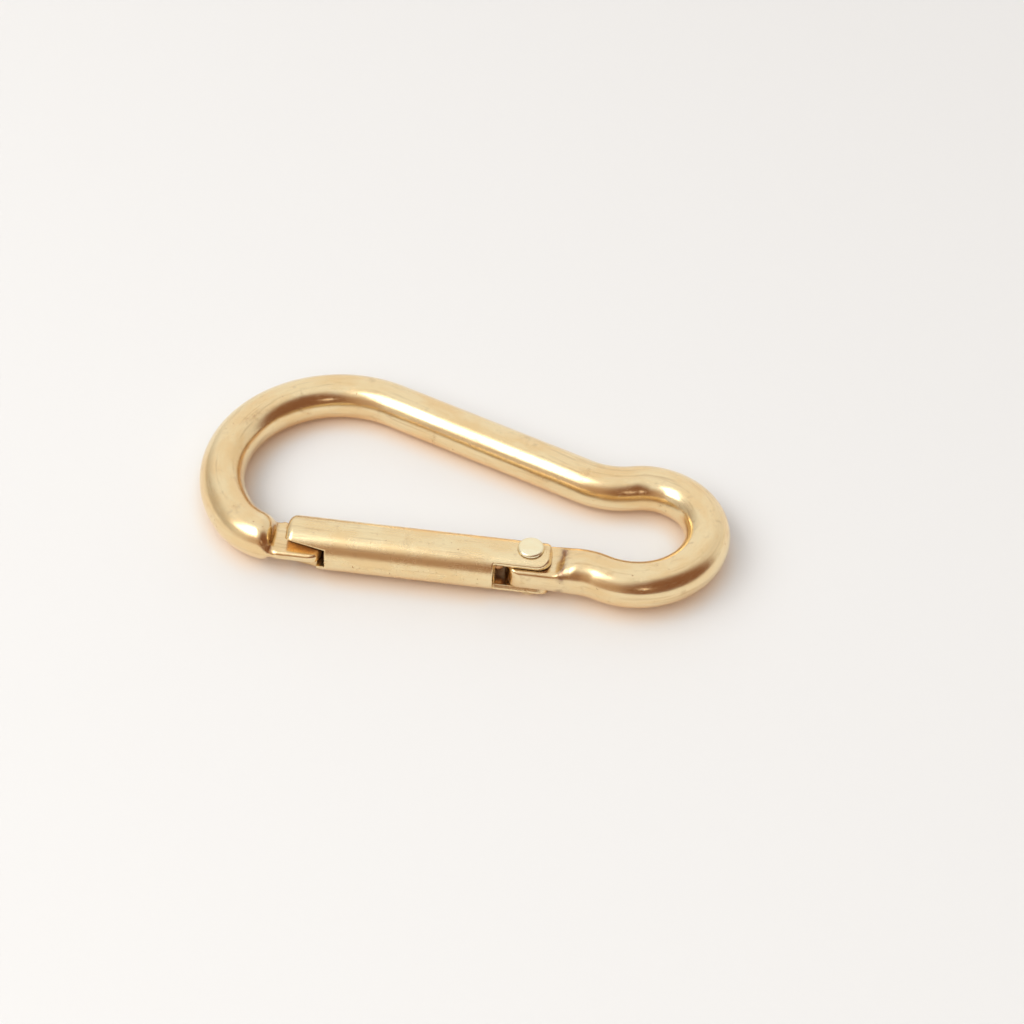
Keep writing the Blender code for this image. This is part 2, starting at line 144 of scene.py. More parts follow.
# Rivet, plunger and spring.
HEAD_SEAT = 3.4
HEAD_HEIGHT = 0.45
HEAD_RADIUS = 1.72
HEAD_ROUNDING = 0.38
HEAD_UNDER_ROUNDING = 0.06
HEAD_CROWN = 0.04
HEAD_STEPS = 8
SHANK_RADIUS = 1.2
RIVET_SIDES = 96
PLUNGER_RADIUS = 0.9
PLUNGER_TIP_GAP = 0.1
PLUNGER_HEAD_LENGTH = 3.0
PLUNGER_EDGE = 0.08
PLUNGER_STEM_RADIUS = 0.45
PLUNGER_STEM_LENGTH = 2.5
PLUNGER_STEM_EDGE = 0.1
PLUNGER_SIDES = 64
WIRE_RADIUS = 0.15
WIRE_SIDES = 14
COIL_RADIUS = 0.7
COIL_TURNS = 10
COIL_GAP = 0.1
COIL_STEPS_PER_TURN = 40
CLOSE_PITCH = 2.1 * WIRE_RADIUS
SHARP_ANGLE = math.radians(40.0)
UPRIGHT = ((1.0, 0.0, 0.0), (0.0, 1.0, 0.0), (0.0, 0.0, 1.0))
ALONG_X = ((0.0, 0.0, 1.0), (0.0, 1.0, 0.0), (-1.0, 0.0, 0.0))

# Mesh grids: line spacings, what they span and where their lines stand closer together.
FINE = 0.09
COARSE = 0.2
LEVEL = 0.11
MARGIN = 0.5
BODY_SPAN_X = (-16.0, 58.0)
BODY_SPAN_Y = (-4.6, 32.2)
BODY_FINE_X = ((-6.0, 6.5), (25.5, 38.0))
BODY_FINE_Y = ((-3.6, 3.6),)
GATE_FINE_X = ((-2.0, 6.5), (23.0, 35.0))
FAR = 50.0
EVERYWHERE = ((-FAR, FAR),)
GRADIENT_STEP = 0.004
PROJECTIONS = 5
LEAST_SLOPE_SQUARED = 0.1
SMALL = 1e-9

# Metals.
POLISHED = (0.91, 0.735, 0.445)
SATIN = (0.92, 0.76, 0.465)
PALE = (0.99, 0.91, 0.64)
REDDISH = (0.70, 0.43, 0.24)
STEEL = (0.56, 0.55, 0.53)

# Stains and painted shade. Painted shade also sits in bands (place along x, half width) at the feet of
# the bar's slopes.
STAIN = (0.42, 0.22, 0.10)
# The next two colours are painted shade: in tight corners, and at the feet of the bar's slopes.
CORNER_PAINTED_SHADE = (0.26, 0.09, 0.04)
SLOPE_PAINTED_SHADE = (0.30, 0.15, 0.11)
STEEL_STAIN = (0.25, 0.22, 0.2)
CORNER_SAMPLES = 8
CORNER_SHADE_REACH = 1.6
CORNER_SHADE_OPENNESS = (0.06, 0.62)
SLOPE_SHADE_BANDS = ((TONGUE_ROOT_X - 0.15, 0.3), (TANG_ROOT_X + 0.5, 0.5))
SLOPE_SHADE_REACH_Y = 5.0
SLOPE_SHADE_LOW_Z = 0.3
STREAK_SHARE = 0.36
PATCH_SHARE = 0.36
SPECK_SHARE = 0.6
SLOPE_SHADE_SHARE = 0.85
ROSY = (0.97, 0.88, 0.78)

# Noise: scale per millimetre, detail, roughness and, for a layer, the values where it starts and
# is full. The stretches multiply that scale along the rod, sideways and upwards.
MOTTLE = (1.0, 4.0, 0.6, 0.36, 0.66)
STREAKS = (1.0, 4.0, 0.65, 0.52, 0.76)
PATCHES = (0.55, 5.0, 0.62, 0.56, 0.78)
SPECKS = (2.3, 2.0, 0.5, 0.71, 0.76)
SLOPE_SHADE_BREAKUP = (1.1, 4.0, 0.5, 0.2, 0.62)
SCRATCHED = (0.45, 1.0, 0.5, 0.56, 0.66)
MOTTLE_STRETCH = (0.13, 0.3, 0.3)
STREAK_STRETCH = (0.10, 1.5, 1.5)
GRAIN_STRETCH = (0.2, 5.5, 5.5)
HAIR_STRETCH = (0.16, 3.2, 3.2)
HAIR_NOISE = (1.0, 0.0, 0.5)
HAIR_WIDTH = 0.007
# Families of hairlines: their turn, its axis and a shift that sets them apart.
HAIRS = (
    (0.35, (0.3, 0.2, 0.93), 3.1),
    (-0.8, (0.1, 0.5, 0.86), 11.7),
    (1.3, (0.5, -0.3, 0.81), 23.3),
)
WAVES = (0.33, 2.0, 0.45)
GRAIN = (1.0, 3.0, 0.6)
RELIEF_HEIGHT = 0.003
# How much rougher mottle, patches, specks, hairlines, grain and the painted corner shade make the
# metal.
DULLING_SHARES = (0.05, 0.08, 0.2, 0.05, 0.04, 0.2)

# The room around the object: azimuth, elevation, inner and outer half-angle, colour.
ROOM_COLOUR = (0.92, 0.91, 0.90)
ROOM_PATCHES = (
    (-85.0, -8.0, 15.0, 62.0, (0.56, 0.52, 0.48)),
    (75.0, 15.0, 20.0, 60.0, (0.80, 0.76, 0.72)),
    (-172.0, 8.0, 16.0, 48.0, (0.50, 0.34, 0.24)),
    (132.0, 14.0, 38.0, 60.0, (0.24, 0.11, 0.06)),
    (161.0, 26.0, 1.5, 5.0, (2.4, 2.1, 1.8)),
)
BACKDROP = (0.92, 0.915, 0.90)
ROOM_DIMMING_ON_PAPER = 0.18

# Softboxes: name, azimuth and elevation, distance and size in metres, radiance, seen in metal.
LAMP_COLOUR = (1.0, 0.985, 0.96)
SOFTBOXES = (
    ("window", -125.0, 48.0, 0.7, (0.34, 0.44), 2.6, True),
    ("key", -92.0, 46.0, 0.8, (0.42, 0.42), 2.2, False),
    ("front_fill", 178.0, 50.0, 1.7, (1.9, 1.1), 1.8, False),
)

# Floor: its sizes in metres, its paper (fibres: noise, scale per metre), and the painted warm shade
# and painted brass-coloured bounce light on the paper close to the hook.
FLOOR_RADIUS = 1.2
FLOOR_SIDES = 96
FLOOR_FADE = (0.13, 0.34)
REST_INSET = 0.2
PAPER = (0.80, 0.81, 0.81)
# The paper's painted warm shade close to the hook.
PAPER_IN_SHADE = (0.76, 0.60, 0.45)
PAPER_ROUGHNESS = 0.7
PAPER_FIBRES = (900.0, 4.0, 0.6)
PAPER_RELIEF = 0.01
# Painted brass-coloured bounce light: how the paper glows close to the hook.
PAINTED_BRASS_BOUNCE = (1.0, 0.66, 0.42)
PAINTED_BOUNCE_STRENGTH = 0.07
PAINTED_SHADE_SHARE = 0.9
PAINTED_CONTACT_REACH = 3.5
PAINTED_CONTACT_OPENNESS = (0.15, 0.9)

# Camera: place and directions in plan millimetres, clipping in metres.
CAMERA_PLACE = (46.489, -182.094, 201.114)
CAMERA_RIGHT = (0.991395, 0.127696, 0.028804)
CAMERA_UP = (-0.112053, 0.714072, 0.691046)
CAMERA_LENS = 73.82
CAMERA_SENSOR = 36.0
CAMERA_CLIP = (0.01, 10.0)


def round_max(a, b, radius):
    """Intersection of two distance fields, with the convex edge between them rounded."""
    inside = np.minimum(np.maximum(a, b), -radius)
    return inside + np.hypot(np.maximum(a + radius, 0.0), np.maximum(b + radius, 0.0))


def round_min(a, b, radius):
    """Union of two distance fields, with the concave corner between them filleted."""
    return -round_max(-a, -b, radius)


def bar_segments():
    """The centre line as (length, None) for a straight or (radius, angle) for a bend."""
    turned = LOOP_TIGHT_ANGLE + LOOP_WIDE_ANGLE - NECK_ANGLE + EYE_TIGHT_ANGLE + EYE_WIDE_ANGLE
    heel_angle = turned - 2 * math.pi
    bends = [
        (LOOP_TIGHT_RADIUS, LOOP_TIGHT_ANGLE),
        (LOOP_WIDE_RADIUS, LOOP_WIDE_ANGLE),
        (0.0, None),
        (NECK_RADIUS, -NECK_ANGLE),
        (EYE_TIGHT_RADIUS, EYE_TIGHT_ANGLE),
        (EYE_WIDE_RADIUS, EYE_WIDE_ANGLE),
        (HEEL_RADIUS, -heel_angle),
    ]
    nose = (NOSE_STRAIGHT + TONGUE_TIP_X + BAR_RADIUS, None)
    start = np.array([TONGUE_TIP_X + BAR_RADIUS, 0.0])
    miss = trace(start, [nose] + bends)[-1]["end"][1] - PIVOT_Y
    spine_heading = LOOP_TIGHT_ANGLE + LOOP_WIDE_ANGLE - math.pi
    bends[2] = (miss / math.sin(spine_heading), None)
    heel_end = trace(start, [nose] + bends)[-1]["end"]
    tang = (heel_end[0] - PIVOT_X + TANG_END_RADIUS + BAR_RADIUS, None)
    return trace(start, [nose] + bends + [tang])


def trace(position, sizes):
    """Walks the centre line from the given point, heading -x; a positive angle turns right."""
    heading = math.pi
    along = 0.0
    pieces = []
    for size, angle in sizes:
        if angle is None:
            end = position + size * np.array([math.cos(heading), math.sin(heading)])
            pieces.append({"start": position, "end": end, "along": along, "length": size})
            along += size
            position = end
            continue
        side = 1.0 if angle > 0 else -1.0
        centre = position + side * size * np.array([math.sin(heading), -math.cos(heading)])
        middle = heading - angle / 2
        outwards = -side * np.array([math.sin(middle), -math.cos(middle)])
        heading -= angle
        end = centre - side * size * np.array([math.sin(heading), -math.cos(heading)])
        piece = {"centre": centre, "radius": size, "side": side, "half_angle": abs(angle) / 2}
        piece |= {"outwards": outwards, "end": end, "along": along, "length": size * abs(angle)}
        pieces.append(piece)
        along += size * abs(angle)
        position = end
    return pieces


BAR = bar_segments()


def near_straight(piece, x, y):
    """Distance from a straight, the offset to its right and how far along it."""
    run = (piece["end"] - piece["start"]) / piece["length"]
    dx = x - piece["start"][0]
    dy = y - piece["start"][1]
    along = np.clip(dx * run[0] + dy * run[1], 0.0, piece["length"])
    distance = np.hypot(dx - along * run[0], dy - along * run[1])
    return distance, dx * run[1] - dy * run[0], piece["along"] + along


def near_bend(piece, x, y):
    """Distance from a bend, the offset to its right and how far along it."""
    dx = x - piece["centre"][0]
    dy = y - piece["centre"][1]
    out = piece["outwards"]
    # The angle from the bend's middle, growing along the bar.
    turn = np.arctan2(-piece["side"] * (out[0] * dy - out[1] * dx), out[0] * dx + out[1] * dy)
    held = np.clip(turn, -piece["half_angle"], piece["half_angle"])
    off = np.hypot(dx, dy) - piece["radius"]
    gap = 2 * piece["radius"] * np.sin(np.abs(turn - held) / 2)
    distance = np.where(turn == held, np.abs(off), np.hypot(off, gap))
    along = piece["along"] + (held + piece["half_angle"]) * piece["radius"]
    return distance, -piece["side"] * off, along


def near_bar(x, y):
    """Plan distance from the centre line, offset to its right (inwards) and length along it."""
    best = np.full(np.broadcast(x, y).shape, FAR)
    right = np.zeros(best.shape)
    along = np.zeros(best.shape)
    for piece in BAR:
        measure = near_bend if "centre" in piece else near_straight
        distance, offset, length = measure(piece, x, y)
        closer = distance < best
        best = np.where(closer, distance, best)
        right = np.where(closer, offset, right)
        along = np.where(closer, length, along)
    return best, right, along


def stepped(x, z, root_x, level, slope, facing, side, fillet):
    """Distance from what stays below a flat and the slope that climbs from it to the full bar.

    facing is +1 where the flat lies towards +x of its root, side +1 for the upper flat.
    """
    above = side * z - side * level
    climb = facing * (x - root_x) * math.sin(slope) + above * math.cos(slope)
    return round_min(above, climb, fillet)


def tongue_plan(x, y):
    """Plan distance from the tongue's outline: notched on its inner side, round at the tip."""
    half = (TONGUE_INNER_Y - TONGUE_OUTER_Y) / 2
    qx = x - (TONGUE_TIP_X - TONGUE_TIP_RADIUS)
    qy = np.abs(y - (TONGUE_INNER_Y - half)) - (half - TONGUE_TIP_RADIUS)
    corner = np.hypot(np.maximum(qx, 0.0), np.maximum(qy, 0.0))
    blade = corner + np.minimum(np.maximum(qx, qy), 0.0) - TONGUE_TIP_RADIUS
    return round_min(blade, x - TONGUE_NOTCH_X, TONGUE_FILLET)


def tang_plan(x, y):
    """Plan distance from the tang's end: round on the outer side, a rising cam on the inner."""
    dx = PIVOT_X - x
    dy = y - PIVOT_Y
    radius = np.hypot(dx, dy)
    angle = np.arctan2(dy, dx)
    rise = CAM_RISE_PER_RADIAN * np.clip(angle, 0.0, CAM_END_ANGLE)
    clear = TANG_OUTER_SWELL * np.clip(-angle / (math.pi / 2), 0.0, 1.0) ** 2
    clear = clear + CAM_RUN_OUT_PER_RADIAN * np.clip(angle - CAM_END_ANGLE, 0.0, 1.0)
    return np.where(dx > 0, radius - TANG_END_RADIUS - rise - clear, -FAR)


def body_field(x, y, z):
    """Distance from the bar's surface, with its tongue, tang, cam and rivet hole."""
    planar, right, _ = near_bar(x, y)
    field = np.hypot(planar, z) - BAR_RADIUS - parting_ridge(right, z)
    at_nose = (x < NOSE_ZONE_END_X) & (y < ZONE_REACH_Y)
    worn = wear(x, TONGUE_WEAR_START_X, TONGUE_WEAR_RUN, TONGUE_SLOPE_WEAR, TONGUE_FLAT_WEAR)
    for level, side in ((TONGUE_TOP, 1), (TONGUE_BOTTOM, -1)):
        flat = stepped(x, z, TONGUE_ROOT_X, level, TONGUE_SLOPE, 1, side, TONGUE_FILLET)
        field = np.where(at_nose, round_max(field, flat, worn), field)
    field = np.where(at_nose, round_max(field, tongue_plan(x, y), TONGUE_OUTLINE_WEAR), field)
    at_hinge = (x > HINGE_ZONE_START_X) & (x < HINGE_ZONE_END_X) & (np.abs(y) < ZONE_REACH_Y)
    worn = wear(x, TANG_ROOT_X, TANG_WEAR_RUN, TANG_FLAT_WEAR, TANG_SLOPE_WEAR)
    for side in (1, -1):
        flat = stepped(x, z, TANG_ROOT_X, side * TANG_HALF, TANG_SLOPE, -1, side, TANG_FILLET)
        field = np.where(at_hinge, round_max(field, flat, worn), field)
    field = np.where(at_hinge, round_max(field, tang_plan(x, y), TANG_FLAT_WEAR), field)
    hole = HOLE_RADIUS - np.hypot(x - PIVOT_X, y - PIVOT_Y)
    return np.where(at_hinge, round_max(field, hole, BODY_HOLE_WEAR), field)


def wear(x, start, run, before, after):
    """An edge's rounding, changing evenly from one value to the other over a run along x."""
    return before + (after - before) * np.clip((x - start) / run, 0.0, 1.0)


def parting_ridge(right, z):
    """A faint raised line along the bar's inner side, left by its forming dies."""
    angle = np.arctan2(z, np.maximum(right, RIDGE_LEAST_OFFSET))
    across = (angle + RIDGE_ANGLE) * BAR_RADIUS
    return np.where(right > 0, RIDGE_HEIGHT * np.exp(-((across / RIDGE_WIDTH) ** 2)), 0.0)


def gate_field(x, y, z):
    """Distance from the gate's surface, with its slots, flanks, bore and rivet hole."""
    radius = np.hypot(y - GATE_Y, z)
    qx = np.maximum(GATE_NOSE_X + GATE_NOSE_ROUNDING - x, x - GATE_HEEL_X)
    qr = radius - (GATE_RADIUS - GATE_NOSE_ROUNDING)
    corner = np.hypot(np.maximum(qx, 0.0), np.maximum(qr, 0.0))
    field = corner + np.minimum(np.maximum(qx, qr), 0.0) - GATE_NOSE_ROUNDING
    flanked = round_max(field, fork_flank(x, y, z), FLANK_WEAR)
    field = np.where(x > FLANK_ZONE_START_X, flanked, field)
    field = round_max(field, -nose_slot(x, y, z), NOSE_SLOT_WEAR)
    field = round_max(field, -fork_slot(x, y, z), FORK_SLOT_WEAR)
    hole = HOLE_RADIUS - np.hypot(x - PIVOT_X, y - PIVOT_Y)
    field = np.where(x > HOLE_ZONE_START_X, round_max(field, hole, GATE_HOLE_WEAR), field)
    bore = np.maximum(np.hypot(y - PIVOT_Y, z) - BORE_RADIUS, BORE_END_X - x)
    bore = np.where(x < PIVOT_X, bore, FAR)
    return np.maximum(field, -bore)


def fork_flank(x, y, z):
    """Distance from the fork's outer flank and round heel; inside before the fork starts."""
    height = np.maximum(np.abs(z) - FORK_SLOT_HALF, 0.0)
    outer = FORK_OUTER_Y - FORK_UNDERCUT * height
    middle = (outer + FORK_INNER_Y) / 2
    half = (FORK_INNER_Y - outer) / 2
    qx = x - (GATE_HEEL_X - GATE_HEEL_CORNER) + HEEL_LEAN * height
    qy = np.abs(y - middle) - (half - GATE_HEEL_CORNER)
    corner = np.hypot(np.maximum(qx, 0.0), np.maximum(qy, 0.0))
    ears = corner + np.minimum(np.maximum(qx, qy), 0.0) - GATE_HEEL_CORNER
    return round_min(ears, x - FORK_START_X, FORK_START_FILLET)


def nose_slot(x, y, z):
    """Distance from the slot for the tongue, open at the nose and on the outer side.

    Its upper lip is bevelled along a slanting line. The lower lip is cut back to the same line,
    except next to the slot's end.
    """
    qx = x - (NOSE_SLOT_END_X - NOSE_SLOT_CORNER)
    qy = y - (NOSE_SLOT_INNER_Y - NOSE_SLOT_CORNER)
    plan = np.hypot(np.maximum(qx, 0.0), np.maximum(qy, 0.0))
    plan = plan + np.minimum(np.maximum(qx, qy), 0.0) - NOSE_SLOT_CORNER
    above = z - NOSE_SLOT_TOP
    slot = np.maximum(above, NOSE_SLOT_BOTTOM - z)
    beyond = y - NOSE_LIP_Y - NOSE_LIP_SLANT * x
    lip = np.maximum(beyond, (above + beyond) * math.sqrt(0.5))
    lip = np.maximum(lip, np.minimum(x - NOSE_LOWER_LIP_X, NOSE_SLOT_BOTTOM - z))
    return np.maximum(plan, np.minimum(slot, lip))


def fork_slot(x, y, z):
    """Distance from the slot over the tang: square outside, round the cam's sweep inside."""
    clear = np.hypot(x - PIVOT_X, y - PIVOT_Y) - FORK_SLOT_CLEAR_RADIUS
    inner = np.minimum(clear, FORK_SLOT_BACK_X - x)
    outer = np.maximum(FORK_SLOT_END_X - x, y - PIVOT_Y)
    return np.maximum(np.minimum(inner, outer), np.abs(z) - FORK_SLOT_HALF)


def grid_scale():
    """How much wider than usual the grid's lines stand."""
    return 1.0


def grid_lines(low, high, fine_zones):
    """Grid lines from low to high, close together in the fine zones and wider elsewhere."""
    scale = grid_scale()
    lines = [low]
    while lines[-1] < high:
        here = lines[-1]
        fine = any(start <= here < end for start, end in fine_zones)
        lines.append(here + scale * (FINE if fine else COARSE))
    return np.array(lines)


def active_cells(inside):
    """Grid cells whose corners lie on both sides of the surface."""
    shape = tuple(n - 1 for n in inside.shape)
    count = np.zeros(shape, np.int8)
    for i, j, k in np.ndindex(2, 2, 2):
        count += inside[i : i + shape[0], j : j + shape[1], k : k + shape[2]]
    return (count > 0) & (count < 8)


def net_points(values, lines, cells):
    """One point per active cell: the mean of where the surface crosses the cell's edges."""
    total = np.zeros((len(cells), 3))
    crossings = np.zeros(len(cells))
    for axis in range(3):
        step = np.eye(3, dtype=int)[axis]
        for i, j in np.ndindex(2, 2):
            start = cells + np.insert([i, j], axis, 0)
            end = start + step
            a = values[tuple(start.T)]
            b = values[tuple(end.T)]
            crossed = (a < 0) != (b < 0)
            share = np.where(crossed, a / np.where(crossed, a - b, 1.0), 0.0)
            point = np.stack([lines[n][start[:, n]] for n in range(3)], axis=1)
            point[:, axis] += share * (lines[axis][end[:, axis]] - lines[axis][start[:, axis]])
            total += np.where(crossed[:, None], point, 0.0)
            crossings += crossed
    return total / crossings[:, None]


def net_quads(inside, index):
    """One quad around every grid edge that crosses the surface, facing outwards."""
    quads = []
    for axis in range(3):
        b = (axis + 1) % 3
        c = (axis + 2) % 3
        crossed = np.take(inside, range(1, inside.shape[axis]), axis) != np.take(
            inside, range(inside.shape[axis] - 1), axis
        )
        edges = np.argwhere(crossed)
        corners = []
        for db, dc in ((-1, -1), (0, -1), (0, 0), (-1, 0)):
            cell = edges.copy()
            cell[:, b] += db
            cell[:, c] += dc
            corners.append(index[tuple(cell.T)])
        quad = np.stack(corners, axis=1)
        outwards = inside[tuple(edges.T)]
        quads.append(np.where(outwards[:, None], quad, quad[:, ::-1]))
    return np.concatenate(quads)


def slope_of(field, points):
    """The field's gradient, by central differences."""
    columns = []
    for axis in range(3):
        ahead = points.copy()
        ahead[:, axis] += GRADIENT_STEP
        behind = points.copy()
        behind[:, axis] -= GRADIENT_STEP
        columns.append((field(*ahead.T) - field(*behind.T)) / (2 * GRADIENT_STEP))
    return np.stack(columns, axis=1)


def net_surface(field, lines):
    """Points, quads and exact normals of the surface where the field is zero."""
    values = field(lines[0][:, None, None], lines[1][None, :, None], lines[2][None, None, :])
    inside = values < 0
    active = active_cells(inside)
    index = np.full(active.shape, -1, np.int32)
    cells = np.argwhere(active)
    index[active] = np.arange(len(cells))
    points = net_points(values, lines, cells)
    quads = net_quads(inside, index)
    for _ in range(PROJECTIONS):
        slope = slope_of(field, points)
        size = np.maximum((slope**2).sum(axis=1), LEAST_SLOPE_SQUARED)
        move = (field(*points.T) / size)[:, None] * slope
        points -= np.clip(move, -FINE, FINE)
    normals = slope_of(field, points)
    normals /= np.maximum(np.linalg.norm(normals, axis=1), SMALL)[:, None]
    return points, quads, normals


def middle_of_plan():
    """Where the row frame's origin lies in plan, from the rivet's axis."""
    low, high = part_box("hinge_rivet")
    centre = [(a + b) / 2 / MM for a, b in zip(low, high)]
    return np.array([PIVOT_X - centre[0], PIVOT_Y - centre[1], 0.0])


def new_piece(name, points, faces, rod, material, body, slot, replaces):
    """A smooth mesh from points in plan millimetres; rod holds its straightened coordinates."""
    mesh = bpy.data.meshes.new(name)
    mesh.from_pydata(((points - MIDDLE) * MM).tolist(), [], faces)
    mesh.attributes.new("rod", "FLOAT_VECTOR", "POINT").data.foreach_set("vector", rod.ravel())
    mesh.shade_smooth()
    mesh.materials.append(material)
    piece = bpy.data.objects.new(name, mesh)
    bpy.context.scene.collection.objects.link(piece)
    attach(piece, body)
    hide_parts(replaces)
    return piece


def set_normals(piece, normals):
    """Gives the mesh its exact normals, so that reflections run smoothly."""
    piece.data.normals_split_custom_set_from_vertices(normals.tolist())


def build_body(material):
    """The bar, with the strength of the painted shade at its slopes' feet stored at its points."""
    x = grid_lines(*BODY_SPAN_X, BODY_FINE_X)
    y = grid_lines(*BODY_SPAN_Y, BODY_FINE_Y)
    z = np.arange(-BAR_RADIUS - MARGIN, BAR_RADIUS + MARGIN, LEVEL * grid_scale())
    points, quads, normals = net_surface(body_field, (x, y, z))
    _, right, along = near_bar(points[:, 0], points[:, 1])
    rod = np.stack([along, right, points[:, 2]], axis=1)
    faces = quads.tolist()
    piece = new_piece("body_metal", points, faces, rod, material, "frame", "polished_brass", "body")
    set_normals(piece, normals)
    slope_shade = piece.data.attributes.new("slope_shade", "FLOAT", "POINT")
    slope_shade.data.foreach_set("value", riser_painted_shade(*points.T))


def riser_painted_shade(x, y, z):
    """How much painted shade darkens the feet of the slopes above the tongue and the tang."""
    bands = sum(np.exp(-(((x - place) / width) ** 2)) for place, width in SLOPE_SHADE_BANDS)
    return bands * (np.abs(y) < SLOPE_SHADE_REACH_Y) * np.clip(np.abs(z) - SLOPE_SHADE_LOW_Z, 0.0, 1.0)


def build_gate(material):
    """The gate, open at its nose, its fork and its bore."""
    x = grid_lines(GATE_NOSE_X - MARGIN, GATE_HEEL_X + MARGIN, GATE_FINE_X)
    reach = GATE_RADIUS + MARGIN
    y = grid_lines(GATE_Y - reach, GATE_Y + reach, EVERYWHERE)
    z = grid_lines(-reach, reach, EVERYWHERE)
    points, quads, normals = net_surface(gate_field, (x, y, z))
    faces = quads.tolist()
    piece = new_piece("gate_metal", points, faces, points, material, "gate", "satin_brass", "gate")
    set_normals(piece, normals)


def arc_profile(radius, z, rounding, start, end, count=9):
    """Points of an arc in a turned profile, angles in degrees from the axis of turning outwards."""
    angles = np.radians(np.linspace(start, end, count))
    return [(radius + rounding * math.sin(a), z + rounding * math.cos(a)) for a in angles]


def lathe(profile, steps):
    """Points and quads of a solid turned about its own Z axis; the profile starts and ends on it."""
    ring = np.linspace(0.0, 2 * math.pi, steps, endpoint=False)
    points = [(r * math.cos(a), r * math.sin(a), z) for r, z in profile[1:-1] for a in ring]
    first = len(points)
    points += [(0.0, 0.0, profile[0][1]), (0.0, 0.0, profile[-1][1])]
    faces = []
    rows = len(profile) - 2
    for row in range(rows - 1):
        for n in range(steps):
            m = (n + 1) % steps
            here = row * steps
            faces.append((here + n, here + steps + n, here + steps + m, here + m))
    last = (rows - 1) * steps
    for n in range(steps):
        m = (n + 1) % steps
        faces.append((first, n, m))
        faces.append((first + 1, last + m, last + n))
    return np.array(points), faces


def new_turned(name, profile, sides, turn, place, *others):
    """A turned piece: rod coordinates are its own, then it is turned and placed in plan."""
    points, faces = lathe(profile, sides)
    placed = points @ np.array(turn).T + np.array(place)
    piece = new_piece(name, placed, faces, points, *others)
    piece.data.set_sharp_from_angle(angle=SHARP_ANGLE)


def head_profile():
    """Half a rivet: a slightly crowned face, a rounded rim, a small fillet and the shank."""
    top = HEAD_SEAT + HEAD_HEIGHT
    flat = HEAD_RADIUS - HEAD_ROUNDING
    shares = [n / HEAD_STEPS for n in range(HEAD_STEPS)]
    crown = [(flat * share, top - HEAD_CROWN * share**2) for share in shares]
    rim = arc_profile(flat, top - HEAD_CROWN - HEAD_ROUNDING, HEAD_ROUNDING, 0, 90)
    edge = HEAD_UNDER_ROUNDING
    under = arc_profile(HEAD_RADIUS - edge, HEAD_SEAT + edge, edge, 90, 180, 5)
    return crown + rim + under + [(SHANK_RADIUS, HEAD_SEAT)]


def build_rivet(material):
    """The pin and both its heads, which turn with the gate."""
    upper = head_profile()
    profile = upper + [(r, -z) for r, z in reversed(upper)]
    place = (PIVOT_X, PIVOT_Y, 0.0)
    others = (material, "gate", "rivet_brass", "hinge_rivet")
    new_turned("hinge_rivet_metal", profile, RIVET_SIDES, UPRIGHT, place, *others)


def build_plunger(material):
    """A pin with a domed nose towards the tang and a stem inside the spring."""
    tip = [(0.0, 0.0)] + arc_profile(0.0, -PLUNGER_RADIUS, PLUNGER_RADIUS, 5, 90, 14)
    edge = PLUNGER_EDGE
    shoulder = arc_profile(PLUNGER_RADIUS - edge, edge - PLUNGER_HEAD_LENGTH, edge, 90, 180, 5)
    stem_z = -PLUNGER_HEAD_LENGTH - PLUNGER_STEM_LENGTH
    edge = PLUNGER_STEM_EDGE
    stem = [(PLUNGER_STEM_RADIUS, -PLUNGER_HEAD_LENGTH)]
    stem += arc_profile(PLUNGER_STEM_RADIUS - edge, stem_z + edge, edge, 90, 180, 5)
    profile = tip + shoulder + stem + [(0.0, stem_z)]
    place = (PIVOT_X - TANG_END_RADIUS - PLUNGER_TIP_GAP, PIVOT_Y, 0.0)
    others = (material, "plunger", "plunger_brass", "plunger")
    new_turned("plunger_metal", profile, PLUNGER_SIDES, ALONG_X, place, *others)


def coil_line(length):
    """The spring's wire centre along +Z: open turns between two closed end turns."""
    turns = np.arange(COIL_TURNS * COIL_STEPS_PER_TURN + 1) / COIL_STEPS_PER_TURN
    open_pitch = (length - 2 * CLOSE_PITCH) / (COIL_TURNS - 2)
    dead = np.clip(turns, 0.0, 1.0) + np.clip(turns - COIL_TURNS + 1, 0.0, 1.0)
    z = dead * CLOSE_PITCH + np.clip(turns - 1, 0.0, COIL_TURNS - 2.0) * open_pitch
    angle = 2 * math.pi * turns
    return np.stack([COIL_RADIUS * np.cos(angle), COIL_RADIUS * np.sin(angle), z], axis=1)


def tube(line, radius, sides):
    """Points and faces of a round tube along a line, with flat closed ends."""
    run = np.gradient(line, axis=0)
    run /= np.linalg.norm(run, axis=1)[:, None]
    out = line * (1.0, 1.0, 0.0)
    out /= np.linalg.norm(out, axis=1)[:, None]
    across = np.cross(run, out)
    across /= np.linalg.norm(across, axis=1)[:, None]
    out = np.cross(across, run)
    ring = np.linspace(0.0, 2 * math.pi, sides, endpoint=False)
    circle = np.cos(ring)[None, :, None] * out[:, None] + np.sin(ring)[None, :, None] * across[:, None]
    points = (line[:, None] + radius * circle).reshape(-1, 3)
    faces = []
    for row in range(len(line) - 1):
        here = row * sides
        for n in range(sides):
            m = (n + 1) % sides
            faces.append((here + n, here + m, here + sides + m, here + sides + n))
    faces.append(tuple(reversed(range(sides))))
    faces.append(tuple(range(len(points) - sides, len(points))))
    return points, faces


